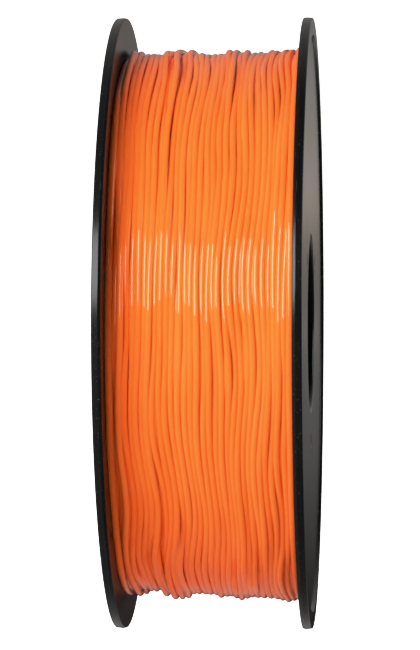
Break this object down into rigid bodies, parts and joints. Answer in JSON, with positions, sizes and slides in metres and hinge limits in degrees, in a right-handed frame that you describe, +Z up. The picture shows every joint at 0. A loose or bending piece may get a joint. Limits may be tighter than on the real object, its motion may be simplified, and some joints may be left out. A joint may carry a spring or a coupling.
{
  "type": "filament spool",
  "caption": "Black moulded two-flange spool with a central spindle bore, wound full of orange 3-D printer filament.",
  "frame": {"origin": "middle of the spool's axis, on the bore's centre line and halfway between the two flanges", "axes": "+X along the bore's axis, out of the right flange; +Z up with the spool standing on its rims; +Y away from the front"},
  "size_m": [0.064, 0.1998, 0.1998],
  "materials": {
    "flange_plastic": "glossy black moulded plastic",
    "core_plastic": "satin black moulded plastic",
    "screw_steel": "dark zinc-plated steel",
    "filament_plastic": "satin-gloss orange thermoplastic strand"
  },
  "bodies": {
    "root": {"left_flange": "flange_plastic", "right_flange": "flange_plastic", "spool_core": "core_plastic", "wound_filament": "filament_plastic", "right_flange_screw_1": "screw_steel", "right_flange_screw_2": "screw_steel", "right_flange_screw_3": "screw_steel", "left_flange_screw_1": "screw_steel", "left_flange_screw_2": "screw_steel", "left_flange_screw_3": "screw_steel"}
  },
  "joints": []
}
